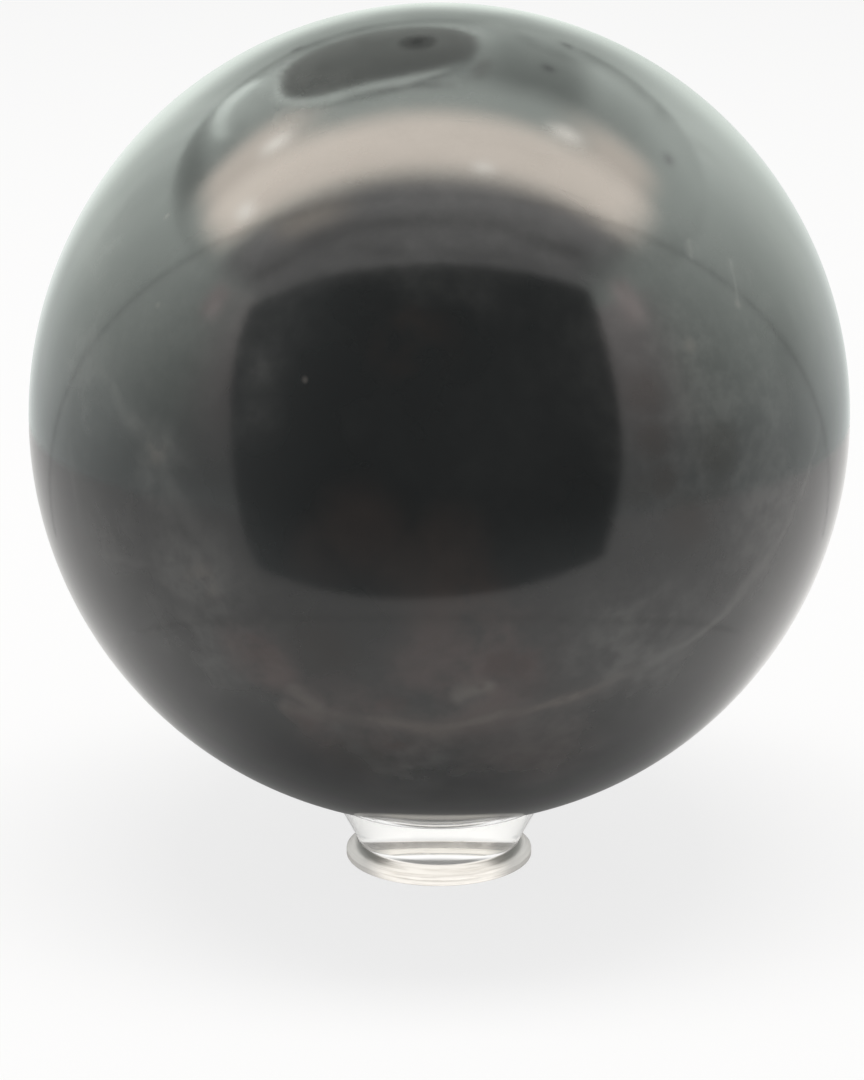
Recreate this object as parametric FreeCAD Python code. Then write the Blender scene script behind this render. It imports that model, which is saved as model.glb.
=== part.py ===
import FreeCAD, Part
import math
import os

# A polished natural-stone ball that rests on a small clear acrylic ring stand.
# Millimetres. The origin is the centre of the stand's underside, on the table, with +Z up.

# the stone ball: one solid sphere
BALL_DIAMETER = 108.0

# the ring stand: one short collar, turned to a waist between its foot and its rim
FOOT_DIAMETER = 25.4
FOOT_LIP_HEIGHT = 0.9
WAIST_DIAMETER = 22.2
WAIST_HEIGHT = 2.45
WAIST_ROUND = 0.3
RIM_DIAMETER = 30.8
FLARE_SAG = 0.25
BORE_DIAMETER = 20.0
MOUTH_DIAMETER = 24.0
EDGE_ROUND = 0.2

# the seat: the shallow cone on top of the collar, which carries the ball on one circle
SEAT_DIAMETER = 27.4
SEAT_HEIGHT = 9.5
SEAT_CLEARANCE = 0.05

AXIS_POINT = FreeCAD.Vector(0, 0, 0)
AXIS = FreeCAD.Vector(0, 0, 1)
FULL_TURN = 360.0
SAME_PLACE = 1e-6


def reach_to_seat():
    """From the ball's centre, square to the seat's face."""
    return BALL_DIAMETER / 2 + SEAT_CLEARANCE


def seat_slope():
    """The seat climbs outwards at the angle that the ball has where it is carried."""
    return math.asin(SEAT_DIAMETER / 2 / reach_to_seat())


def ball_centre_height():
    return SEAT_HEIGHT + reach_to_seat() * math.cos(seat_slope())


def seat_height_at(diameter):
    """The height of the conical seat on a circle of this diameter."""
    return SEAT_HEIGHT + (diameter - SEAT_DIAMETER) / 2 * math.tan(seat_slope())


def corner(diameter, height):
    """A corner of the collar's turned profile, in the XZ plane."""
    return FreeCAD.Vector(diameter / 2, 0, height)


def straight(corners):
    """The straight edges from each corner to the next."""
    return [Part.LineSegment(start, end).toShape() for start, end in zip(corners, corners[1:])]


def hollowed(start, end, sag):
    """An arc from start to end that sinks towards the axis by the sag."""
    run = end - start
    inwards = FreeCAD.Vector(-run.z, 0, run.x).normalize()
    deepest = (start + end) * 0.5 + inwards * sag
    return Part.Arc(start, deepest, end).toShape()


def turned(edges):
    """The solid that a closed profile sweeps about the Z axis."""
    return Part.Face(Part.Wire(edges)).revolve(AXIS_POINT, AXIS, FULL_TURN)


def circles_at(solid, place):
    """The circular edges of a turned solid through one corner of its profile."""
    found = []
    for edge in solid.Edges:
        circle = edge.Curve
        if not isinstance(circle, Part.Circle):
            continue
        right_height = abs(circle.Center.z - place.z) < SAME_PLACE
        right_size = abs(circle.Radius - place.x) < SAME_PLACE
        if right_height and right_size:
            found.append(edge)
    return found


def stone_ball():
    """The ball, standing off its seat by the clearance."""
    return Part.makeSphere(BALL_DIAMETER / 2, FreeCAD.Vector(0, 0, ball_centre_height()))


def ring_stand():
    """The collar: foot and lip, slope up to the waist, flare out to the rim, seat, mouth and bore."""
    heel = corner(FOOT_DIAMETER, 0)
    lip = corner(FOOT_DIAMETER, FOOT_LIP_HEIGHT)
    waist = corner(WAIST_DIAMETER, WAIST_HEIGHT)
    rim = corner(RIM_DIAMETER, seat_height_at(RIM_DIAMETER))
    mouth = corner(MOUTH_DIAMETER, seat_height_at(MOUTH_DIAMETER))
    throat = corner(BORE_DIAMETER, WAIST_HEIGHT)
    toe = corner(BORE_DIAMETER, 0)
    foot = straight([heel, lip, waist])
    flare = [hollowed(waist, rim, FLARE_SAG)]
    inside = straight([rim, mouth, throat, toe, heel])
    collar = turned(foot + flare + inside)
    collar = collar.makeFillet(WAIST_ROUND, circles_at(collar, waist))
    for place in [heel, lip, rim, mouth, toe]:
        collar = collar.makeFillet(EDGE_ROUND, circles_at(collar, place))
    return collar


os.makedirs("parts", exist_ok=True)
for name, piece in {"stone_ball": stone_ball(), "ring_stand": ring_stand()}.items():
    piece.exportStep(f"parts/{name}.step")
    print(f"{name}: {len(piece.Solids)} solid, {piece.Volume:.1f} mm3, valid {piece.isValid()}")
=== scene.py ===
import math

import bpy
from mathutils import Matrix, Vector


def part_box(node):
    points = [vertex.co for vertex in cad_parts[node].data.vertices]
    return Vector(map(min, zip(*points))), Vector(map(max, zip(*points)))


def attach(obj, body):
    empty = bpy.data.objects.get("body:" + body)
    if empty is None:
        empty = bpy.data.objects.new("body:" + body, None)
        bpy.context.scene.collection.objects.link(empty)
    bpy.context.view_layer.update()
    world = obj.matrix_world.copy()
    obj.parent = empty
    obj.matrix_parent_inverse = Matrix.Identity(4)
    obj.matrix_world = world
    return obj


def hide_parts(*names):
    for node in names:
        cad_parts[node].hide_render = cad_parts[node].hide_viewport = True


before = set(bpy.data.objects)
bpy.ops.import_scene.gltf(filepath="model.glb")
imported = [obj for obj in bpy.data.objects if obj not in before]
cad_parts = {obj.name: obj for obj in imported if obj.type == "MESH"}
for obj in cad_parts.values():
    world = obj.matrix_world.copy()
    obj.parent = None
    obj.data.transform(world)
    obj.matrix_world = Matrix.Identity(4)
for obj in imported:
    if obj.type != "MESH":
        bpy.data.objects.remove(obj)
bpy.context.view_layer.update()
ball_low, ball_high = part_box("stone_ball")
ball_centre = Vector((0, 0, (ball_low.z + ball_high.z) / 2))
ball_radius = (ball_high.z - ball_low.z) / 2


# ---------------------------------------------------------------------------------------------
# The ring stand is a short collar turned on a lathe from a bar of clear cast acrylic: a foot with
# a small upright lip, a waist, and a flare up to a thin rim. Its faces are polished, but the foot
# keeps the tool's fine rings. It stands loose on the table, and the ball rests in its seat.
# ---------------------------------------------------------------------------------------------

foot_radius = 0.0127
lip_height = 0.0009
waist_radius = 0.0111
waist_height = 0.00245
waist_round = 0.0003
rim_radius = 0.0154
flare_sag = 0.00025
bore_radius = 0.0100
mouth_radius = 0.0120
edge_round = 0.0002
seat_radius = 0.0137
seat_height = 0.0095
seat_clearance = 0.00005
corners_round = 256
flare_steps = 10
round_steps = 4
merge_reach = 0.000001
smooth_below = math.radians(30)

seat_slope = math.asin(seat_radius / (ball_radius + seat_clearance))


def seat_height_at(radius):
    return seat_height + (radius - seat_radius) * math.tan(seat_slope)


def flare_point(share):
    """A point on the hollow flare, from the waist at 0 to the rim at 1."""
    start = Vector((waist_radius, 0, waist_height))
    end = Vector((rim_radius, 0, seat_height_at(rim_radius)))
    run = end - start
    inwards = Vector((-run.z, 0, run.x)).normalized()
    place = start + run * share + inwards * flare_sag * 4 * share * (1 - share)
    return (place.x, place.z)


heel = (foot_radius, 0.0)
lip = (foot_radius, lip_height)
waist = (waist_radius, waist_height)
rim = (rim_radius, seat_height_at(rim_radius))
mouth = (mouth_radius, seat_height_at(mouth_radius))
throat = (bore_radius, waist_height)
toe = (bore_radius, 0.0)
flare = [flare_point(step / flare_steps) for step in range(1, flare_steps)]
collar_outline = [heel, lip, waist, *flare, rim, mouth, throat, toe]


def pull_ring_to(place, last_place):
    """Extrudes the selected ring of edges to the next radius and height of a turned outline."""
    rise = place[1] - last_place[1]
    growth = place[0] / last_place[0]
    bpy.ops.mesh.extrude_edges_move(TRANSFORM_OT_translate={"value": (0, 0, rise)})
    bpy.ops.transform.resize(value=(growth, growth, 1), center_override=(0, 0, place[1]))


def select_ring(piece, place):
    """Selects the ring of edges that runs round the piece at this radius and height."""
    near = 0.00001
    bpy.ops.object.mode_set(mode="OBJECT")
    for face in piece.data.polygons:
        face.select = False
    on_ring = []
    for vertex in piece.data.vertices:
        off_radius = abs(math.hypot(vertex.co.x, vertex.co.y) - place[0])
        off_height = abs(vertex.co.z - place[1])
        vertex.select = False
        on_ring.append(off_radius < near and off_height < near)
    for edge in piece.data.edges:
        edge.select = on_ring[edge.vertices[0]] and on_ring[edge.vertices[1]]
    bpy.ops.object.mode_set(mode="EDIT")


def round_over(piece, outline, place, radius):
    """Bevels one ring of a turned outline to a round of this radius."""
    index = outline.index(place)
    here = Vector(place)
    before = Vector(outline[index - 1]) - here
    after = Vector(outline[(index + 1) % len(outline)]) - here
    run_back = radius / math.tan(before.angle(after) / 2)
    select_ring(piece, place)
    bpy.ops.mesh.bevel(offset=run_back, segments=round_steps, profile=0.5, affect="EDGES")


bpy.ops.object.select_all(action="DESELECT")
bpy.ops.mesh.primitive_circle_add(vertices=corners_round, radius=heel[0], fill_type="NOTHING")
ring_stand = bpy.context.object
ring_stand.name = "acrylic_ring_stand"
bpy.ops.object.mode_set(mode="EDIT")
bpy.ops.mesh.select_mode(type="EDGE")
bpy.ops.mesh.select_all(action="SELECT")
for last_place, place in zip(collar_outline, collar_outline[1:] + [heel]):
    pull_ring_to(place, last_place)
bpy.ops.mesh.select_all(action="SELECT")
bpy.ops.mesh.remove_doubles(threshold=merge_reach)
bpy.ops.mesh.normals_make_consistent(inside=False)
round_over(ring_stand, collar_outline, waist, waist_round)
for place in [heel, lip, rim, mouth, toe]:
    round_over(ring_stand, collar_outline, place, edge_round)
bpy.ops.object.mode_set(mode="OBJECT")
bpy.ops.object.shade_smooth_by_angle(angle=smooth_below)


def add_node(tree, kind, **settings):
    """A new node of that kind, with its settings by name."""
    node = tree.nodes.new(kind)
    for name, value in settings.items():
        setattr(node, name, value)
    return node


def new_material(name):
    """An empty node material, its tree and its shader."""
    material = bpy.data.materials.new(name)
    material.use_nodes = True
    tree = material.node_tree
    return material, tree, tree.nodes["Principled BSDF"]


def join(tree, result, socket):
    """Feeds a socket from another socket, or sets it to a plain value."""
    if hasattr(result, "links"):
        tree.links.new(result, socket)
    else:
        socket.default_value = result


def calculate(tree, operation, first, second=0.0, clamp=False):
    node = add_node(tree, "ShaderNodeMath", operation=operation, use_clamp=clamp)
    join(tree, first, node.inputs[0])
    join(tree, second, node.inputs[1])
    return node.outputs[0]


def times(tree, first, second, clamp=False):
    return calculate(tree, "MULTIPLY", first, second, clamp)


def plus(tree, first, second, clamp=False):
    return calculate(tree, "ADD", first, second, clamp)


def minus(tree, first, second):
    return calculate(tree, "SUBTRACT", first, second)


def vector_math(tree, operation, first, second=(0, 0, 0)):
    """One step of sums on places: a new place, or a number where the step gives one."""
    node = add_node(tree, "ShaderNodeVectorMath", operation=operation)
    join(tree, first, node.inputs[0])
    join(tree, second, node.inputs["Scale"] if operation == "SCALE" else node.inputs[1])
    is_number = operation in ("DOT_PRODUCT", "DISTANCE", "LENGTH")
    return node.outputs["Value"] if is_number else node.outputs[0]


def stretch(tree, place, scale, turn=(0, 0, 0)):
    """Stretches and turns a pattern's place on the piece."""
    node = add_node(tree, "ShaderNodeMapping")
    node.inputs["Scale"].default_value = scale
    node.inputs["Rotation"].default_value = turn
    tree.links.new(place, node.inputs["Vector"])
    return node.outputs[0]


def apart(tree, place):
    """A place's three coordinates, by letter."""
    node = add_node(tree, "ShaderNodeSeparateXYZ")
    tree.links.new(place, node.inputs[0])
    return node.outputs


def place_on(tree):
    """The place on the piece, in metres."""
    return add_node(tree, "ShaderNodeTexCoord").outputs["Object"]


def ramp(tree, value, start, end, low=0.0, high=1.0, soft=True):
    """Carries a value from low at start to high at end."""
    course = "SMOOTHSTEP" if soft else "LINEAR"
    node = add_node(tree, "ShaderNodeMapRange", interpolation_type=course)
    join(tree, value, node.inputs["Value"])
    node.inputs["From Min"].default_value = start
    node.inputs["From Max"].default_value = end
    node.inputs["To Min"].default_value = low
    node.inputs["To Max"].default_value = high
    return node.outputs["Result"]


def grain(tree, place, scale, detail, roughness=0.5, colour=False):
    node = add_node(tree, "ShaderNodeTexNoise")
    join(tree, place, node.inputs["Vector"])
    node.inputs["Scale"].default_value = scale
    node.inputs["Detail"].default_value = detail
    node.inputs["Roughness"].default_value = roughness
    return node.outputs["Color" if colour else "Fac"]


def tint(tree, share, under, over):
    """Lays one colour over another by a share from 0 to 1."""
    node = add_node(tree, "ShaderNodeMix", data_type="RGBA")
    # a mix node also has sockets for numbers and places, and its two colours come last
    join(tree, share, node.inputs[0])
    join(tree, under, node.inputs[6])
    join(tree, over, node.inputs[7])
    return node.outputs[2]


def relief(tree, height, strength, depth):
    """The facing of a skin that is raised where height is high, by depth at most."""
    node = add_node(tree, "ShaderNodeBump")
    node.inputs["Strength"].default_value = strength
    node.inputs["Distance"].default_value = depth
    tree.links.new(height, node.inputs["Height"])
    return node.outputs[0]


# fine marks: the rubbed smears and hairline scratches that handling leaves on any polish
smear_scale = 140
scratch_scale = (90, 2600, 90)
scratch_turn = (0.4, 0.7, 0.9)
fine_marks = bpy.data.node_groups.new("fine_marks", "ShaderNodeTree")
fine_marks.interface.new_socket("Place", in_out="INPUT", socket_type="NodeSocketVector")
fine_marks.interface.new_socket("Smears", in_out="OUTPUT", socket_type="NodeSocketFloat")
fine_marks.interface.new_socket("Scratches", in_out="OUTPUT", socket_type="NodeSocketFloat")
marked_place = add_node(fine_marks, "NodeGroupInput").outputs["Place"]
marks_out = add_node(fine_marks, "NodeGroupOutput")
smears = ramp(fine_marks, grain(fine_marks, marked_place, smear_scale, 4, 0.6), 0.50, 0.72)
fine_marks.links.new(smears, marks_out.inputs["Smears"])
scratched_place = stretch(fine_marks, marked_place, scratch_scale, scratch_turn)
scratches = ramp(fine_marks, grain(fine_marks, scratched_place, 1.0, 2, 0.5), 0.66, 0.74)
fine_marks.links.new(scratches, marks_out.inputs["Scratches"])


def marks_on(tree, place):
    """The fine marks in a material: smears and scratches."""
    marks = add_node(tree, "ShaderNodeGroup", node_tree=fine_marks)
    tree.links.new(place, marks.inputs["Place"])
    return marks.outputs["Smears"], marks.outputs["Scratches"]


acrylic_clear = (0.95, 0.95, 0.94, 1)
satin_dull = (0.66, 0.585, 0.485, 1)
satin_bright = (1.0, 0.92, 0.80, 1)
satin_streak = (0.50, 0.44, 0.36, 1)
painted_shade_grey = (0.20, 0.19, 0.175, 1)
bore_to_skin = (0.0103, 0.0107)
painted_shade_reach = (0.0062, 0.0102)
fine_ring_scale = (150, 150, 5200)
broad_ring_scale = (110, 110, 3600)
ring_depth = 0.00003
polished_roughness = 0.015
smeared_roughness = 0.03
satin_roughness = (0.34, 0.52)
acrylic_ior = 1.49

acrylic, tree, shader = new_material("clear_cast_acrylic")
place = place_on(tree)
across = apart(tree, place)["X"]
height = apart(tree, place)["Z"]
from_axis = vector_math(tree, "LENGTH", vector_math(tree, "MULTIPLY", place, (1, 1, 0)))

# the foot's outside is left as it came off the lathe: satin, with fine rings round it; towards its
# two ends it carries painted shade
below_waist = ramp(tree, height, waist_height - 0.0001, waist_height + 0.0002, 1.0, 0.0)
outside = ramp(tree, from_axis, *bore_to_skin)
turned = times(tree, below_waist, outside)
rings = grain(tree, stretch(tree, place, fine_ring_scale), 1.0, 5, 0.6)
bands = grain(tree, stretch(tree, place, broad_ring_scale), 1.0, 2, 0.5)
smears, scratches = marks_on(tree, place)
satin = ramp(tree, rings, 0.3, 0.7, *satin_roughness, soft=False)
gloss = plus(tree, times(tree, smears, smeared_roughness), polished_roughness)
finish = plus(tree, gloss, times(tree, turned, minus(tree, satin, gloss)))
tree.links.new(finish, shader.inputs["Roughness"])
satin_colour = tint(tree, ramp(tree, bands, 0.34, 0.52), satin_dull, satin_bright)
satin_colour = tint(tree, ramp(tree, rings, 0.50, 0.61, 0.0, 0.55), satin_colour, satin_streak)
# painted shade: the foot's colour turns grey towards its two ends along X, standing in for the
# darker light that falls there
painted_end_shade = ramp(tree, calculate(tree, "ABSOLUTE", across), *painted_shade_reach, 0.0, 0.94)
satin_colour = tint(tree, painted_end_shade, satin_colour, painted_shade_grey)
tree.links.new(tint(tree, turned, acrylic_clear, satin_colour), shader.inputs["Base Color"])
ridges = minus(tree, times(tree, rings, turned), times(tree, scratches, 0.05))
tree.links.new(relief(tree, ridges, 0.5, ring_depth), shader.inputs["Normal"])
shader.inputs["IOR"].default_value = acrylic_ior
shader.inputs["Transmission Weight"].default_value = 1.0
ring_stand.data.materials.append(acrylic)

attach(ring_stand, "stand")
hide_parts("ring_stand")


# ---------------------------------------------------------------------------------------------
# The stone ball is one solid ball of dark natural stone, ground between cups and polished to a
# soft mirror. Healed cracks, smoke-grey clouds and brown stains run through it, and where a grain
# has dropped out there is a small pit. It lies loose in the stand under its own weight.
# ---------------------------------------------------------------------------------------------


def on_ball(azimuth, height):
    """The way out from the ball's middle, in degrees: azimuth 0 is the front, -Y, and 90 is +X."""
    turn = math.radians(azimuth)
    lift = math.radians(height)
    reach = math.cos(lift)
    return Vector((math.sin(turn) * reach, -math.cos(turn) * reach, math.sin(lift)))


# each pit's direction, width and depth
dropped_grains = [
    (on_ball(-118, 22), 0.0009, 0.00030),
    (on_ball(160, -12), 0.0011, 0.00035),
    (on_ball(104, -34), 0.0008, 0.00025),
    (on_ball(-165, 48), 0.0009, 0.00030),
]
ball_subdivisions = 7
pit_cuts = 5
fine_mesh_reach = 3.5
pit_floor_reach = 0.18
pit_lip_reach = 1.6

bpy.ops.object.select_all(action="DESELECT")
bpy.ops.mesh.primitive_ico_sphere_add(
    subdivisions=ball_subdivisions, radius=ball_radius, location=ball_centre,
)
stone_ball = bpy.context.object
stone_ball.name = "polished_stone_ball"
bpy.ops.object.transform_apply(location=True, rotation=True, scale=True)


def select_round(piece, middle, reach):
    """Selects the corners of the mesh that lie within reach of a point."""
    bpy.ops.object.mode_set(mode="OBJECT")
    for face in piece.data.polygons:
        face.select = False
    for edge in piece.data.edges:
        edge.select = False
    for vertex in piece.data.vertices:
        vertex.select = (vertex.co - middle).length < reach
    bpy.ops.object.mode_set(mode="EDIT")
    bpy.ops.mesh.select_mode(type="VERT")


for outwards, width, depth in dropped_grains:
    skin = ball_centre + outwards * ball_radius
    select_round(stone_ball, skin, width * fine_mesh_reach)
    bpy.ops.mesh.subdivide(number_cuts=pit_cuts)
    bpy.ops.transform.tosphere(value=1, center_override=ball_centre)
    select_round(stone_ball, skin, width * pit_floor_reach)
    bpy.ops.transform.translate(
        value=-outwards * depth, use_proportional_edit=True,
        proportional_edit_falloff="SMOOTH", proportional_size=width,
    )
bpy.ops.object.mode_set(mode="OBJECT")
bpy.ops.object.shade_smooth()

# away from the pits the skin is a true ball, so it faces straight out everywhere
facing = []
for vertex in stone_ball.data.vertices:
    straight_out = (vertex.co - ball_centre).normalized()
    in_pit = any((straight_out - outwards).length * ball_radius < width * pit_lip_reach
                 for outwards, width, depth in dropped_grains)
    facing.append(vertex.normal.copy() if in_pit else straight_out)
stone_ball.data.normals_split_custom_set_from_vertices(facing)

stone, tree, shader = new_material("dark_polished_stone")
stone_ior = 1.52

# the stone's patterns are laid out in ball radii from the ball's middle, so the skin is at 1
centring = add_node(tree, "ShaderNodeMapping")
centring.inputs["Scale"].default_value = (1 / ball_radius,) * 3
centring.inputs["Location"].default_value = -ball_centre / ball_radius
skin_place = place_on(tree)
tree.links.new(skin_place, centring.inputs["Vector"])
straight_place = centring.outputs[0]
half = (0.5, 0.5, 0.5)
broad_bend = grain(tree, straight_place, 2.3, 3, colour=True)
broad_bend = vector_math(tree, "SUBTRACT", broad_bend, half)
fine_bend = grain(tree, straight_place, 11.0, 2, 0.4, colour=True)
fine_bend = vector_math(tree, "SUBTRACT", fine_bend, half)


def bent_by(broad, fine):
    """The place in the stone, pushed about by the two bends."""
    bent = vector_math(tree, "ADD", straight_place, vector_math(tree, "SCALE", broad_bend, broad))
    return vector_math(tree, "ADD", bent, vector_math(tree, "SCALE", fine_bend, fine))


bent_place = bent_by(0.14, 0.035)
nearly_straight = bent_by(0.04, 0.028)


def gather(places, place, core):
    """The strongest of several round spots, each with its middle, reach and amount."""
    strongest = 0.0
    for middle, reach, amount in places:
        away = vector_math(tree, "DISTANCE", place, middle)
        spot = ramp(tree, away, reach * core, reach, amount, 0.0)
        strongest = calculate(tree, "MAXIMUM", strongest, spot)
    return strongest


# smoke: soft clouds all through the stone, the places where they gather, and the clear places
dark_ground = (0.0135, 0.0148, 0.0150, 1)
smoke_grey = (0.064, 0.065, 0.063, 1)
cloud_places = [
    (on_ball(-33, -10), 0.20, 1.0),
    (on_ball(-38, 4), 0.14, 0.9),
    (on_ball(-56, 12), 0.22, 0.8),
    (on_ball(-64, 32), 0.22, 0.7),
    (on_ball(-24, 18), 0.10, 0.45),
    (on_ball(-24, 12), 0.10, 0.35),
    (on_ball(-50, -8), 0.22, 0.5),
    (on_ball(-55, 7), 0.20, 0.9),
    (on_ball(-6, -37), 0.17, 0.8),
    (on_ball(-2, -44), 0.16, 0.6),
    (on_ball(-35, -20), 0.26, 0.7),
    (on_ball(28, -20), 0.30, 1.0),
    (on_ball(16, -34), 0.26, 0.6),
    (on_ball(21, -40), 0.24, 0.6),
    (on_ball(-4, -50), 0.22, 0.5),
    (on_ball(48, -4), 0.30, 0.8),
    (on_ball(36, 20), 0.16, 1.0),
    (on_ball(47, 14), 0.26, 0.6),
    (on_ball(38, 8), 0.34, 1.0),
    (on_ball(-110, -20), 0.60, 0.8),
    (on_ball(120, 30), 0.55, 0.7),
    (on_ball(170, -10), 0.55, 0.8),
    (on_ball(-150, 40), 0.45, 0.6),
]
clear_places = [
    (on_ball(4, 4), 0.52, 0.75),
    (on_ball(-120, -40), 0.30, 0.6),
]
smoke = ramp(tree, grain(tree, bent_place, 2.1, 5, 0.55), 0.42, 0.72)
wisp_place = stretch(tree, bent_place, (1.0, 5.0, 1.4), (0.5, 0.9, -0.6))
wisps = ramp(tree, grain(tree, wisp_place, 1.7, 5, 0.5), 0.48, 0.74)
mottle = ramp(tree, grain(tree, nearly_straight, 5.5, 4, 0.55), 0.30, 0.66)
speckle = ramp(tree, grain(tree, straight_place, 22.0, 3, 0.5), 0.3, 0.7, 0.75, 1.25)
cloud = times(tree, gather(cloud_places, nearly_straight, 0.0), mottle)
murk = plus(tree, times(tree, smoke, 0.40), times(tree, wisps, 0.22))
murk = times(tree, murk, minus(tree, 1.0, gather(clear_places, nearly_straight, 0.4)))
cloud = times(tree, plus(tree, cloud, murk), speckle, clamp=True)
stone_colour = tint(tree, cloud, dark_ground, smoke_grey)

# blushes: pink-brown clouds low on the front and round the back
pink_brown = (0.066, 0.049, 0.046, 1)
blush_places = [
    (on_ball(4, -22), 0.28, 1.0),
    (on_ball(-12, -32), 0.24, 0.8),
    (on_ball(-25.5, -19), 0.13, 1.0),
    (on_ball(-24, -23), 0.10, 0.9),
    (on_ball(16, -36), 0.24, 0.4),
    (on_ball(-95, 10), 0.30, 0.8),
    (on_ball(140, 0), 0.35, 0.8),
]
blush = times(tree, gather(blush_places, bent_place, 0.2), mottle)
stone_colour = tint(tree, blush, stone_colour, pink_brown)

# stains: iron has tinted the stone brown and dull red in small ragged patches
stain_brown = (0.037, 0.024, 0.022, 1)
stain_places = [
    (on_ball(-25, -20), 0.08, 0.8),
    (on_ball(-1, -17), 0.06, 0.7),
    (on_ball(7.5, -20), 0.07, 0.9),
    (on_ball(11, -20.5), 0.06, 0.8),
    (on_ball(13.5, -23), 0.06, 0.7),
    (on_ball(-7, -26.5), 0.05, 0.6),
    (on_ball(-22, -31), 0.06, 0.7),
    (on_ball(-6.5, -34.5), 0.06, 0.8),
    (on_ball(-95, -5), 0.12, 0.8),
    (on_ball(135, 15), 0.12, 0.8),
    (on_ball(-160, -25), 0.10, 0.7),
]
ragged = ramp(tree, grain(tree, bent_place, 9.0, 5, 0.6), 0.35, 0.60)
stained = times(tree, gather(stain_places, bent_place, 0.2), ragged)
stone_colour = tint(tree, stained, stone_colour, stain_brown)
deep_brown = (0.011, 0.008, 0.006, 1)
dark_places = [
    (on_ball(38.7, 6.2), 0.10, 0.9),
    (on_ball(38, 1.5), 0.07, 0.7),
    (on_ball(28.5, 9), 0.07, 0.8),
    (on_ball(29.7, 3.6), 0.07, 0.8),
    (on_ball(28, 15), 0.08, 0.7),
    (on_ball(33.7, -2), 0.11, 0.9),
    (on_ball(26, 3), 0.06, 0.6),
    (on_ball(-16, -18), 0.12, 0.5),
    (on_ball(-14, -38), 0.12, 0.6),
    (on_ball(100, 25), 0.12, 0.8),
    (on_ball(-140, -5), 0.14, 0.8),
]
uneven_edge = ramp(tree, ragged, 0.0, 1.0, 0.6, 1.0, soft=False)
darkened = times(tree, gather(dark_places, nearly_straight, 0.2), uneven_edge)
stone_colour = tint(tree, darkened, stone_colour, deep_brown)
rust_red = (0.034, 0.023, 0.019, 1)
rust_places = [
    (on_ball(-3.5, 23), 0.13, 0.7),
    (on_ball(2, -9), 0.16, 0.7),
    (on_ball(120, -10), 0.20, 0.8),
]
rusted = times(tree, gather(rust_places, bent_place, 0.1), mottle)
stone_colour = tint(tree, rusted, stone_colour, rust_red)
brown_haze = (0.031, 0.0255, 0.0235, 1)
haze_places = [
    (on_ball(-10, -1.5), 0.15, 0.8),
    (on_ball(-14.5, -4), 0.12, 0.6),
    (on_ball(1.5, -2.5), 0.12, 0.8),
    (on_ball(-4, -6), 0.14, 0.7),
    (on_ball(-150, 5), 0.20, 0.8),
]
thin_haze = ramp(tree, mottle, 0.0, 1.0, 0.5, 1.0, soft=False)
hazed = times(tree, gather(haze_places, nearly_straight, 0.3), thin_haze)
stone_colour = tint(tree, hazed, stone_colour, brown_haze)

# healed cracks: each is a flat sheet of pale mineral through two points of the skin, and through
# a third point or else the ball's middle
pale = (0.080, 0.080, 0.077, 1)
pink = (0.084, 0.073, 0.067, 1)
hazy = (0.060, 0.061, 0.059, 1)
cream = (0.105, 0.096, 0.088, 1)
swelling = ramp(tree, grain(tree, straight_place, 5.0, 4, 0.6), 0.3, 0.75, 0.6, 1.5)
breaks = ramp(tree, grain(tree, nearly_straight, 8.0, 4, 0.6), 0.36, 0.58, 0.55, 1.0)


def healed_crack(first, last, width, strength=1.0, through=None):
    """A mask for one crack, which is strongest along its middle and fades out past its two ends."""
    middle = through or first + last
    square = (middle - first).cross(last - first) if through else first.cross(last)
    square = square.normalized()
    middle = middle.normalized()
    reach = max((middle - first).length, (middle - last).length)
    off_sheet = vector_math(tree, "DOT_PRODUCT", nearly_straight, square)
    off_sheet = calculate(tree, "ABSOLUTE", minus(tree, off_sheet, square.dot(first)))
    off_sheet = calculate(tree, "DIVIDE", off_sheet, times(tree, swelling, width))
    line = ramp(tree, off_sheet, 0.0, 1.0, 0.65 * strength, 0.0)
    halo = ramp(tree, off_sheet, 0.0, 3.0, 0.35 * strength, 0.0)
    line = plus(tree, line, halo, clamp=True)
    away = vector_math(tree, "DISTANCE", straight_place, middle)
    near = ramp(tree, away, reach * 0.70, reach * 1.20, 1.0, 0.0)
    return times(tree, times(tree, line, near), breaks)


cracks = [
    (healed_crack(on_ball(-18, -29.3), on_ball(3, -31), 0.040), pink),
    (healed_crack(on_ball(-2, -31), on_ball(28, -23), 0.024, 1.1), pink),
    (healed_crack(on_ball(26, -23.5), on_ball(61, 5), 0.018, 0.8, through=on_ball(46, -14)), pale),
    (healed_crack(on_ball(-22.2, -24.8), on_ball(-17, -29.3), 0.034, 0.75), pink),
    (healed_crack(on_ball(-24.5, -29), on_ball(-17, -29.8), 0.034, 0.65), pink),
    (healed_crack(on_ball(-16.5, -30.5), on_ball(-8, -43), 0.055, 0.5), hazy),
    (healed_crack(on_ball(1.6, -25.6), on_ball(8, -23.2), 0.040, 0.7), cream),
    (healed_crack(on_ball(-57, 18), on_ball(-40.8, 6.3), 0.026, 0.8), hazy),
    (healed_crack(on_ball(-45, 9), on_ball(-36, 7), 0.018, 0.5), pale),
    (healed_crack(on_ball(-38, 4), on_ball(-29, -6.5), 0.040, 0.55), hazy),
    (healed_crack(on_ball(-58, 5), on_ball(-56, -10), 0.014, 0.45), hazy),
    (healed_crack(on_ball(-56, -10.5), on_ball(-41, -9), 0.016, 0.55), hazy),
    (healed_crack(on_ball(42.4, 33.6), on_ball(41, 30.8), 0.017, 0.7), pale),
    (healed_crack(on_ball(49.2, 30), on_ball(47, 23.5), 0.009), pale),
    (healed_crack(on_ball(100, -30), on_ball(150, 35), 0.018, through=on_ball(130, 0)), pale),
    (healed_crack(on_ball(-100, 35), on_ball(-172, -20), 0.020, through=on_ball(-130, 5)), pink),
    (healed_crack(on_ball(-150, 30), on_ball(150, -5), 0.014, through=on_ball(175, 20)), pale),
    (healed_crack(on_ball(80, 40), on_ball(160, 60), 0.014), pale),
]
crack_mask = 0.0
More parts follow.
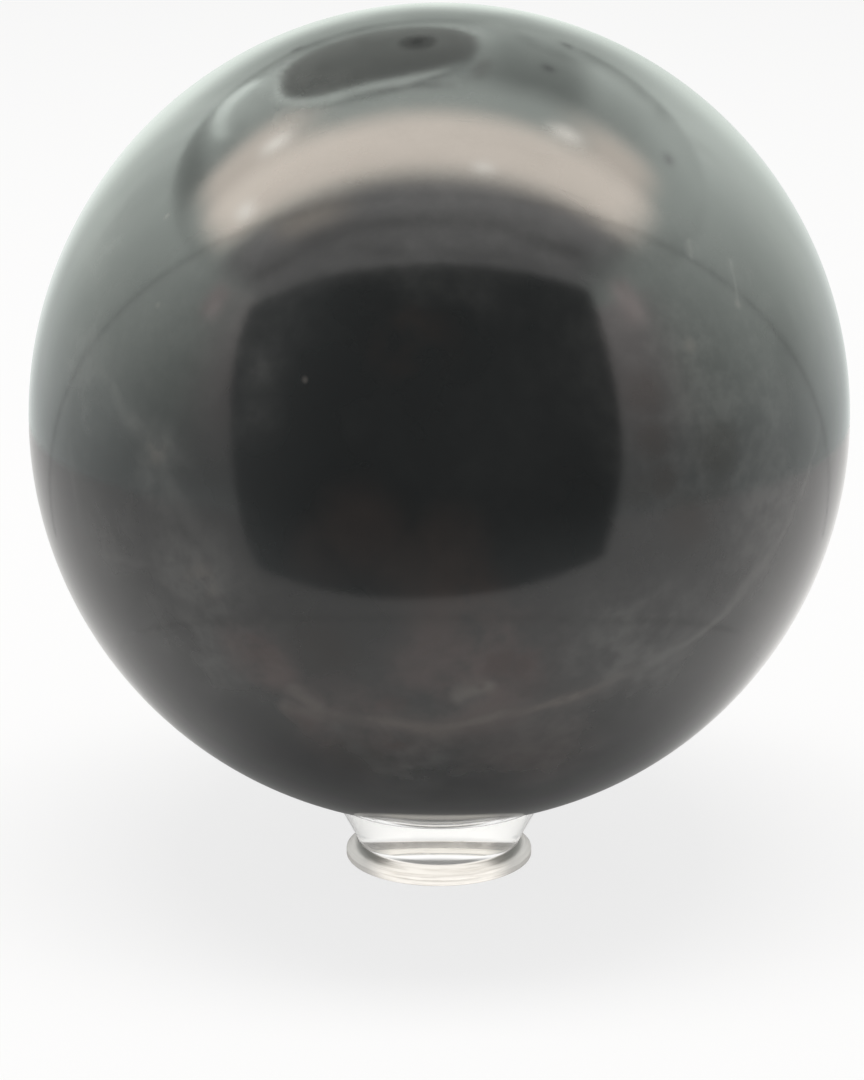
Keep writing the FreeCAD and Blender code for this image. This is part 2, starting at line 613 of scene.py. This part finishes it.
for mask, colour in cracks:
    stone_colour = tint(tree, mask, stone_colour, colour)
    crack_mask = calculate(tree, "MAXIMUM", crack_mask, mask)

# pale knots: small lumps of the same mineral, ragged where they are large
knot_places = [
    (on_ball(-39, 6), 0.050, 0.8),
    (on_ball(-32, -10), 0.070, 0.7),
    (on_ball(150, 18), 0.07, 0.8),
    (on_ball(-125, -12), 0.06, 0.8),
]
speck_places = [
    (on_ball(47, 23.8), 0.018, 1.0),
    (on_ball(36, 20), 0.030, 0.7),
    (on_ball(-43, 24.3), 0.016, 0.9),
    (on_ball(-49.5, 36), 0.014, 0.7),
    (on_ball(-18, 17.2), 0.010, 0.9),
]
lumpy = ramp(tree, grain(tree, bent_place, 16.0, 4, 0.6), 0.36, 0.58)
knotted = times(tree, gather(knot_places, nearly_straight, 0.0), lumpy)
knotted = calculate(tree, "MAXIMUM", knotted, gather(speck_places, nearly_straight, 0.0))
stone_colour = tint(tree, knotted, stone_colour, cream)
iron_speck = [(on_ball(5.8, -23.7), 0.020, 0.6)]
speck_brown = (0.030, 0.020, 0.018, 1)
stone_colour = tint(tree, gather(iron_speck, nearly_straight, 0.0), stone_colour, speck_brown)

# bare spots: where a grain has dropped out the stone is rough and unpolished, and its colour there
# is darkened to near black as painted shade in the pit
pit_shade_black = (0.012, 0.011, 0.010, 1)
bare_reach = 0.9
bare_places = [(outwards, width * bare_reach / ball_radius, 1.0)
               for outwards, width, depth in dropped_grains]
bare = gather(bare_places, straight_place, 0.5)
stone_colour = tint(tree, bare, stone_colour, pit_shade_black)
tree.links.new(stone_colour, shader.inputs["Base Color"])

# the polish: a little softer on the pale mineral, and here and there rubbed by hands
polish_roughness = (0.108, 0.132)
crack_roughness = 0.05
hand_roughness = 0.015
pit_roughness = 0.20
pad_mark_depth = 0.00002
smears, scratches = marks_on(tree, skin_place)
pad_marks = grain(tree, straight_place, 38.0, 6, 0.7)
polish = ramp(tree, pad_marks, 0.2, 0.8, *polish_roughness, soft=False)
polish = plus(tree, polish, times(tree, crack_mask, crack_roughness))
polish = plus(tree, polish, times(tree, smears, hand_roughness))
polish = plus(tree, polish, times(tree, bare, pit_roughness))
tree.links.new(polish, shader.inputs["Roughness"])
uneven = minus(tree, pad_marks, times(tree, scratches, 0.3))
tree.links.new(relief(tree, uneven, 0.25, pad_mark_depth), shader.inputs["Normal"])
shader.inputs["IOR"].default_value = stone_ior
stone_ball.data.materials.append(stone)

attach(stone_ball, "ball")
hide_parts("stone_ball")


# ---------------------------------------------------------------------------------------------
# The light tent is a small tent of white cloth. A long warm lamp lies across its roof, the roof
# has an oval vent at the back, and the front is open and dark. Only mirrors see its cards, but the
# clear ring also sees the dark front through itself.
# ---------------------------------------------------------------------------------------------

tent_height = 0.24
tent_radius = 0.27
wall_height = tent_height + 0.006
roof_middle = Vector((0, 0, tent_height))

cool_white = (0.915, 1.0, 0.93)
warm_white = (1.0, 0.90, 0.79)
lamp_white = (1.0, 0.96, 0.88)
front_white = (1.0, 0.98, 0.97)
plain_white = (1, 1, 1)
vent_grey = (0.95, 1.0, 0.93)
flap_pink = (1.0, 0.88, 0.85)


def reflected_only(card):
    """Only mirrors see this card, and it is no part of the object."""
    card.visible_camera = False
    card.visible_diffuse = False
    card.visible_transmission = False
    card.visible_volume_scatter = False
    card.visible_shadow = False


def edge_fade(tree, distance, fade):
    """1 inside the card, falling to 0 over the last part of the way to its edge at 0.5."""
    return ramp(tree, distance, 0.5 - fade, 0.5, 1.0, 0.0)


# folds: soft creases in the tent's cloth, which dim the light that comes through it
cloth_folds = bpy.data.node_groups.new("cloth_folds", "ShaderNodeTree")
cloth_folds.interface.new_socket("Place", in_out="INPUT", socket_type="NodeSocketVector")
cloth_folds.interface.new_socket("Light", in_out="OUTPUT", socket_type="NodeSocketFloat")
cloth_place = add_node(cloth_folds, "NodeGroupInput").outputs["Place"]
folds_out = add_node(cloth_folds, "NodeGroupOutput")
waves = grain(cloth_folds, cloth_place, 1.0, 3, 0.55)
hollows = ramp(cloth_folds, waves, 0.36, 0.50, 0.45, 1.0)
crests = ramp(cloth_folds, waves, 0.56, 0.66, 1.0, 1.25)
cloth_folds.links.new(times(cloth_folds, hollows, crests), folds_out.inputs["Light"])


def folded(tree, place, fold_scale, strength, share):
    """Dims a strength by the cloth's folds, by a share of their depth."""
    folds = add_node(tree, "ShaderNodeGroup", node_tree=cloth_folds)
    tree.links.new(stretch(tree, place, fold_scale), folds.inputs["Place"])
    light = ramp(tree, folds.outputs["Light"], 0.0, 1.0, 1.0 - share, 1.0, soft=False)
    return times(tree, light, strength)


def glowing_card(name, centre, size, colour, strength, fade,
                 oval=None, turn=0, folds=None, upright=False):
    """A glowing card with soft edges, its centre measured from the middle of the tent's roof.

    The oval is the power of a rounded outline, 2 for an ellipse. The folds are the scale of the
    creases in the cloth, and the share of their depth.
    """
    bpy.ops.object.select_all(action="DESELECT")
    bpy.ops.mesh.primitive_plane_add(
        size=1, location=roof_middle + Vector(centre),
        rotation=(math.radians(90 if upright else 0), 0, math.radians(turn)),
    )
    card = bpy.context.object
    card.name = name
    card.scale = (*size, 1)
    material = bpy.data.materials.new(name)
    material.use_nodes = True
    tree = material.node_tree
    tree.nodes.clear()
    place = place_on(tree)
    from_centre = apart(tree, vector_math(tree, "ABSOLUTE", place))
    across = from_centre["X"]
    along = from_centre["Y"]
    if oval:
        both = plus(tree, calculate(tree, "POWER", across, oval),
                    calculate(tree, "POWER", along, oval))
        mask = edge_fade(tree, calculate(tree, "POWER", both, 1 / oval), fade[0])
    else:
        mask = times(tree, edge_fade(tree, across, fade[0]), edge_fade(tree, along, fade[1]))
    if folds:
        fold_scale, share = folds
        strength = folded(tree, place, fold_scale, strength, share)
    glow = add_node(tree, "ShaderNodeEmission")
    glow.inputs["Color"].default_value = (*colour, 1)
    join(tree, strength, glow.inputs["Strength"])
    clear = add_node(tree, "ShaderNodeBsdfTransparent")
    blend = add_node(tree, "ShaderNodeMixShader")
    tree.links.new(mask, blend.inputs[0])
    tree.links.new(clear.outputs[0], blend.inputs[1])
    tree.links.new(glow.outputs[0], blend.inputs[2])
    out = add_node(tree, "ShaderNodeOutputMaterial")
    tree.links.new(blend.outputs[0], out.inputs["Surface"])
    card.data.materials.append(material)
    reflected_only(card)


# the roof's cloth: its front, its back and its panels
glowing_card("roof", (0, 0, 0.012), (0.8, 0.8), cool_white, 2.7, (0.01, 0.01),
             folds=((22, 5, 1), 0.35))
glowing_card("roof_front", (-0.035, -0.150, 0.011), (0.54, 0.20), front_white, 1.45, (0.2, 0.15),
             folds=((4, 9, 1), 0.85))
glowing_card("roof_back", (-0.015, 0.35, 0.010), (0.58, 0.40), cool_white, 0.95, (0.3, 0.28),
             folds=((12, 1.5, 1), 0.6))
glowing_card("panel_crease", (-0.145, 0.150, 0.009), (0.060, 0.136), cool_white, 4.4, (0.10, 0.10),
             oval=2.4)
glowing_card("roof_panel_left", (-0.121, 0.108, 0.0085), (0.076, 0.150), cool_white, 2.9,
             (0.14, 0.14), oval=2.4, folds=((3, 2, 1), 0.25))
glowing_card("roof_fold", (-0.202, 0.18, 0.008), (0.088, 0.34), cool_white, 1.5, (0.4, 0.25),
             turn=-6)
glowing_card("roof_panel_right", (0.058, 0.145, 0.007), (0.100, 0.32), cool_white, 1.5, (0.35, 0.2),
             folds=((2, 3, 1), 0.4))

# the light that the lamp spills on the cloth round it
glowing_card("lamp_spill", (-0.015, 0.0, 0.006), (0.54, 0.14), cool_white, 4.0, (0.15, 0.4))
glowing_card("glow_right", (0.21, 0.065, 0.0105), (0.20, 0.24), cool_white, 3.6, (0.4, 0.4))
glowing_card("spill_left", (-0.145, 0.022, 0.0055), (0.18, 0.10), warm_white, 7.1, (0.35, 0.4))
glowing_card("spill_right", (0.130, 0.010, 0.0055), (0.13, 0.10), warm_white, 6.8, (0.42, 0.42))

# the vent: a shaded recess, a bright rim, grey cloth within it, and the rings of its drawn mouth
glowing_card("vent_shadow", (-0.041, 0.109, 0.0052), (0.126, 0.160), cool_white, 1.0, (0.02, 0.02),
             oval=2.2)
glowing_card("vent_rim", (-0.043, 0.111, 0.005), (0.124, 0.156), cool_white, 4.6, (0.02, 0.02),
             oval=2.2)
glowing_card("vent", (-0.039, 0.125, 0.004), (0.126, 0.156), vent_grey, 0.85, (0.04, 0.04),
             oval=2.7, folds=((3, 2, 1), 0.3))
vent_rings = [
    ((0.031, 0.064), 1.15),
    ((0.024, 0.051), 0.20),
    ((0.017, 0.034), 0.55),
    ((0.010, 0.022), 0.06),
]
for index, (size, strength) in enumerate(vent_rings):
    glowing_card("vent_ring_%d" % index, (-0.012, 0.125, 0.002 - 0.0002 * index), size, vent_grey,
                 strength, (0.1, 0.1), oval=2.0)
glowing_card("vent_tie", (0.023, 0.066, 0.0009), (0.011, 0.052), vent_grey, 1.5, (0.3, 0.3),
             turn=-11)
glowing_card("vent_seam", (-0.025, 0.035, 0.0008), (0.078, 0.005), vent_grey, 0.8, (0.2, 0.4),
             turn=-4)

# the lamp, its hot spots and the halo in front of it
glowing_card("lamp_strip", (-0.018, -0.028, 0), (0.45, 0.090), warm_white, 10.3, (0.16, 0.36),
             turn=-2.4, folds=((3, 1.5, 1), 0.14))
lamp_spots = [
    ((-0.107, 0.021), (0.044, 0.028), 11.3),
    ((-0.158, -0.030), (0.042, 0.034), 13.5),
    ((0.079, 0.008), (0.040, 0.028), 10.4),
    ((0.029, -0.050), (0.024, 0.016), 13.0),
]
for index, (middle, size, strength) in enumerate(lamp_spots):
    glowing_card("lamp_spot_%d" % index, (*middle, -0.0005), size, lamp_white, strength, (0.5, 0.5))
glowing_card("lamp_halo", (-0.015, -0.078, 0.003), (0.40, 0.050), front_white, 2.1, (0.15, 0.5))
glowing_card("halo_left", (-0.105, -0.076, 0.0025), (0.110, 0.050), warm_white, 3.2, (0.4, 0.5))

# clips, marks and creases on the roof, and the two flaps beside the front opening
roof_marks = [
    ("tent_clip_left", (-0.090, 0.245), (0.010, 0.035), 0.3),
    ("tent_clip_right", (0.078, 0.225), (0.010, 0.035), 0.3),
    ("roof_mark_near", (0.172, 0.078), (0.016, 0.024), 1.7),
    ("roof_mark_far", (0.062, 0.100), (0.010, 0.018), 0.5),
]
for name, middle, size, strength in roof_marks:
    glowing_card(name, (*middle, 0.0004), size, plain_white, strength, (0.3, 0.3))
roof_creases = [
    ((-0.010, -0.104), (0.21, 0.016), 0.85, -1),
    ((0.020, -0.124), (0.16, 0.006), 1.2, 0),
    ((0.000, -0.074), (0.13, 0.006), 2.0, -4),
    ((-0.135, -0.060), (0.14, 0.004), 2.4, 0),
]
for index, (middle, size, strength, turn) in enumerate(roof_creases):
    glowing_card("roof_crease_%d" % index, (*middle, 0.0002), size, front_white, strength,
                 (0.4, 0.5), turn=turn)
glowing_card("flap_left", (-0.153, -0.072, -0.080), (0.026, 0.040), flap_pink, 3.0, (0.35, 0.3),
             turn=-66, folds=((7, 1, 1), 0.9), upright=True)
glowing_card("flap_right", (0.133, -0.095, -0.072), (0.028, 0.056), flap_pink, 3.6, (0.35, 0.3),
             turn=58, folds=((7, 1, 1), 0.9), upright=True)


def black_material(name):
    """A material that gives off only its own glow: its name, tree and shader."""
    material, tree, shader = new_material(name)
    shader.inputs["Base Color"].default_value = (0, 0, 0, 1)
    shader.inputs["Specular IOR Level"].default_value = 0
    return material, tree, shader


# the wall: brighter towards the roof and the back, with a darker middle behind the ball
bpy.ops.object.select_all(action="DESELECT")
bpy.ops.mesh.primitive_cylinder_add(
    vertices=96, radius=tent_radius, depth=wall_height, end_fill_type="NOTHING",
    location=(0, 0, wall_height / 2),
)
tent_wall = bpy.context.object
tent_wall.name = "tent_wall"
bpy.ops.object.transform_apply(location=True, rotation=True, scale=True)
bpy.ops.object.shade_smooth()
foot_glow = 1.08
wall_front_white = (1.0, 0.93, 0.91, 1)
wall_foot_white = (0.95, 1.0, 0.985, 1)
wall_cloth, tree, shader = black_material("tent_wall")
place = place_on(tree)
across = apart(tree, place)["X"]
back = apart(tree, place)["Y"]
height = apart(tree, place)["Z"]
rise = calculate(tree, "POWER", ramp(tree, height, 0, tent_height, soft=False), 1.5)
climb = ramp(tree, back, -0.5 * tent_radius, 0.0, 1.5, 2.3)
low_glow = ramp(tree, back, -0.4 * tent_radius, 0.1 * tent_radius, 0.80, 1.20)
strength = plus(tree, low_glow, times(tree, rise, climb))
strength = folded(tree, place, (9, 9, 3), strength, 0.22)
aside = calculate(tree, "ABSOLUTE", across)
dim_middle = ramp(tree, aside, 0.2 * tent_radius, 0.9 * tent_radius, 0.58, 0.0)
dim = times(tree, ramp(tree, back, 0.0, tent_radius), dim_middle)
strength = times(tree, strength, minus(tree, 1.0, dim))
far_glow = ramp(tree, height, 0.58 * tent_height, 0.93 * tent_height, 1.0, -0.25)
far_glow = times(tree, far_glow, ramp(tree, back, 0.75 * tent_radius, 0.95 * tent_radius))
more_left = ramp(tree, across, -0.4 * tent_radius, 0.5 * tent_radius, 0.68, 0.4)
strength = times(tree, strength, plus(tree, times(tree, far_glow, more_left), 1.0))
near_foot = ramp(tree, height, 0, 0.05, 1.0, 0.0)
strength = plus(tree, strength, times(tree, minus(tree, foot_glow, strength), near_foot))
wall_colour = tint(tree, ramp(tree, back, -0.6 * tent_radius, -0.3 * tent_radius),
                   wall_front_white, (*cool_white, 1))
low_down = ramp(tree, height, 0.0, 0.6 * tent_height, 0.85, 0.0)
wall_colour = tint(tree, low_down, wall_colour, wall_foot_white)
tree.links.new(wall_colour, shader.inputs["Emission Color"])
tree.links.new(strength, shader.inputs["Emission Strength"])
tent_wall.data.materials.append(wall_cloth)
reflected_only(tent_wall)

# the opening: a dark room seen through the tent's front, from its sill up to the roof
bpy.ops.object.select_all(action="DESELECT")
bpy.ops.mesh.primitive_grid_add(x_subdivisions=2, y_subdivisions=3, size=1)
opening = bpy.context.object
opening.name = "tent_opening"
opening_corners = [
    (-0.099, -0.105, 0.003), (0.0, -0.122, 0.002), (0.102, -0.127, 0.003),
    (-0.121, -0.110, 0.07), (0.0, -0.122, 0.07), (0.114, -0.127, 0.06),
    (-0.163, -0.118, 0.145), (0.0, -0.124, 0.14), (0.119, -0.127, 0.13),
    (-0.190, -0.126, 0.206), (0.0, -0.126, 0.205), (0.130, -0.126, 0.204),
]
for vertex, place in zip(opening.data.vertices, opening_corners):
    vertex.co = place
dark_room, tree, shader = black_material("dark_room")
shader.inputs["Emission Color"].default_value = (0.95, 1.0, 1.0, 1)
place = apart(tree, place_on(tree))
room_glow = ramp(tree, place["X"], -0.125, -0.03, 0.38, 0.14)
sill_light = ramp(tree, place["Z"], 0.0, 0.05, 0.22, 0.0)
tree.links.new(plus(tree, room_glow, sill_light), shader.inputs["Emission Strength"])
opening.data.materials.append(dark_room)
reflected_only(opening)
opening.visible_transmission = True

# the hoop: a thin wire that leans back over the ball and holds the cloth up
hoop_radius = 0.1607
hoop_offset = Vector((0, 0.0294, 0.0234))
hoop_lean = math.radians(-51.4)
bpy.ops.object.select_all(action="DESELECT")
bpy.ops.mesh.primitive_torus_add(
    location=ball_centre + hoop_offset, rotation=(hoop_lean, 0, 0),
    major_radius=hoop_radius, minor_radius=0.0007, major_segments=256, minor_segments=8,
)
tent_hoop = bpy.context.object
tent_hoop.name = "tent_hoop"
hoop_wire, tree, shader = black_material("tent_hoop")
shader.inputs["Emission Color"].default_value = (*plain_white, 1)
shader.inputs["Emission Strength"].default_value = 0.35
tent_hoop.data.materials.append(hoop_wire)
reflected_only(tent_hoop)


# ---------------------------------------------------------------------------------------------
# The table is a wide pale cloth, with the edge of a round turning plate showing in the polish at
# the front. A large soft lamp hangs over it, and a white surround does the rest.
# ---------------------------------------------------------------------------------------------

table_white = (0.9, 0.9, 0.9, 1)
floor_white = (1.0, 0.97, 0.945, 1)
lifted_glow = 1.04
lift_for_camera = 0.75
bore_to_wall = (0.0045, 0.0085)
ring_to_far = (0.016, 0.030)


def seen_by(tree, ray_kinds):
    """A value that is 1 for any of these kinds of ray, and 0 for the rest."""
    paths = add_node(tree, "ShaderNodeLightPath")
    seen = 0.0
    for kind in ray_kinds:
        seen = calculate(tree, "MAXIMUM", seen, paths.outputs[kind])
    return seen


bpy.ops.object.select_all(action="DESELECT")
bpy.ops.mesh.primitive_plane_add(size=8, location=(0, 0, 0))
table = bpy.context.object
table.name = "pale_table"
cloth, tree, shader = new_material("pale_table_cloth")
shader.inputs["Base Color"].default_value = table_white
shader.inputs["Roughness"].default_value = 0.9
shader.inputs["Specular IOR Level"].default_value = 0.0
place = place_on(tree)
across = apart(tree, place)["X"]
back = apart(tree, place)["Y"]
from_middle = vector_math(tree, "LENGTH", place)

# the camera sees the cloth lifted towards white, and so does the clear ring, but for its bore
under_bore = ramp(tree, from_middle, *bore_to_wall, 0.12, 1.0)
beyond_ring = ramp(tree, from_middle, *ring_to_far, 1.0, 0.82)
through_ring = times(tree, under_bore, beyond_ring)
through_ring = times(tree, seen_by(tree, ["Is Transmission Ray"]), through_ring)
seen_straight = times(tree, seen_by(tree, ["Is Camera Ray"]), lift_for_camera)
white_glow = add_node(tree, "ShaderNodeEmission")
white_glow.inputs["Strength"].default_value = lifted_glow
lifted = add_node(tree, "ShaderNodeMixShader")
tree.links.new(calculate(tree, "MAXIMUM", seen_straight, through_ring), lifted.inputs[0])
tree.links.new(shader.outputs[0], lifted.inputs[1])
tree.links.new(white_glow.outputs[0], lifted.inputs[2])

# the ball sees the cloth lit inside the tent: brighter away from the stand and to the right
tent_light = ramp(tree, from_middle, 0.015, 0.09, 0.06, 0.28)
tent_light = times(tree, tent_light, ramp(tree, back, 0.03, 0.20, 1.0, 0.7))
tent_light = times(tree, tent_light, ramp(tree, across, -0.10, 0.10, 0.5, 1.5))
tent_light = times(tree, tent_light, seen_by(tree, ["Is Glossy Ray"]))
tent_floor = add_node(tree, "ShaderNodeEmission")
tent_floor.inputs["Color"].default_value = floor_white
tree.links.new(tent_light, tent_floor.inputs["Strength"])
both = add_node(tree, "ShaderNodeAddShader")
tree.links.new(lifted.outputs[0], both.inputs[0])
tree.links.new(tent_floor.outputs[0], both.inputs[1])
tree.links.new(both.outputs[0], tree.nodes["Material Output"].inputs["Surface"])
table.data.materials.append(cloth)

plate_radius = 0.086
plate_middle = -0.021
bpy.ops.object.select_all(action="DESELECT")
bpy.ops.mesh.primitive_torus_add(
    location=(0, plate_middle, 0), major_radius=plate_radius, minor_radius=0.0005,
    major_segments=192, minor_segments=8,
)
plate_edge = bpy.context.object
plate_edge.name = "turning_plate_edge"
seam, tree, shader = new_material("plate_edge")
shader.inputs["Base Color"].default_value = (0.62, 0.61, 0.60, 1)
shader.inputs["Roughness"].default_value = 0.8
back = apart(tree, place_on(tree))["Y"]
tree.links.new(ramp(tree, back, -0.01, 0.02, 1.0, 0.0), shader.inputs["Alpha"])
plate_edge.data.materials.append(seam)
reflected_only(plate_edge)

soft_lamp = bpy.data.lights.new("soft_lamp", "AREA")
soft_lamp.shape = "RECTANGLE"
soft_lamp.size = 1.2
soft_lamp.size_y = 0.5
soft_lamp.energy = 14
soft_lamp.color = (1.0, 0.98, 0.95)
lamp = bpy.data.objects.new("soft_lamp", soft_lamp)
lamp.location = (-0.02, -0.10, 1.6)
lamp.visible_glossy = False
lamp.visible_camera = False
lamp.visible_transmission = False
bpy.context.scene.collection.objects.link(lamp)

surround_light = 0.45
surround_white = 1.0
world = bpy.data.worlds.new("white_surround")
bpy.context.scene.world = world
world.use_nodes = True
tree = world.node_tree
background = tree.nodes["Background"]
background.inputs["Color"].default_value = (1, 1, 1, 1)
seen = seen_by(tree, ["Is Camera Ray", "Is Glossy Ray", "Is Transmission Ray"])
surround = ramp(tree, seen, 0.0, 1.0, surround_light, surround_white, soft=False)
tree.links.new(surround, background.inputs["Strength"])


# ---------------------------------------------------------------------------------------------
# The camera stands a little above the ball's middle, some eight radii off, and looks slightly
# below it, so that the ball fills the upper part of the view.
# ---------------------------------------------------------------------------------------------

camera_distance = 8 * ball_radius
camera_lift = math.radians(13.6)
aimed_below = math.radians(2.19)
turned_left = math.radians(0.13)
camera_data = bpy.data.cameras.new("camera")
camera_data.sensor_width = 36
camera_data.lens = 108.6
camera_data.clip_start = 0.01
camera = bpy.data.objects.new("camera", camera_data)
bpy.context.scene.collection.objects.link(camera)
towards_camera = Vector((0, -math.cos(camera_lift), math.sin(camera_lift)))
camera.location = ball_centre + camera_distance * towards_camera
camera.rotation_euler = (math.pi / 2 - camera_lift - aimed_below, 0, turned_left)
bpy.context.scene.camera = camera
bpy.context.scene.view_settings.view_transform = "Standard"
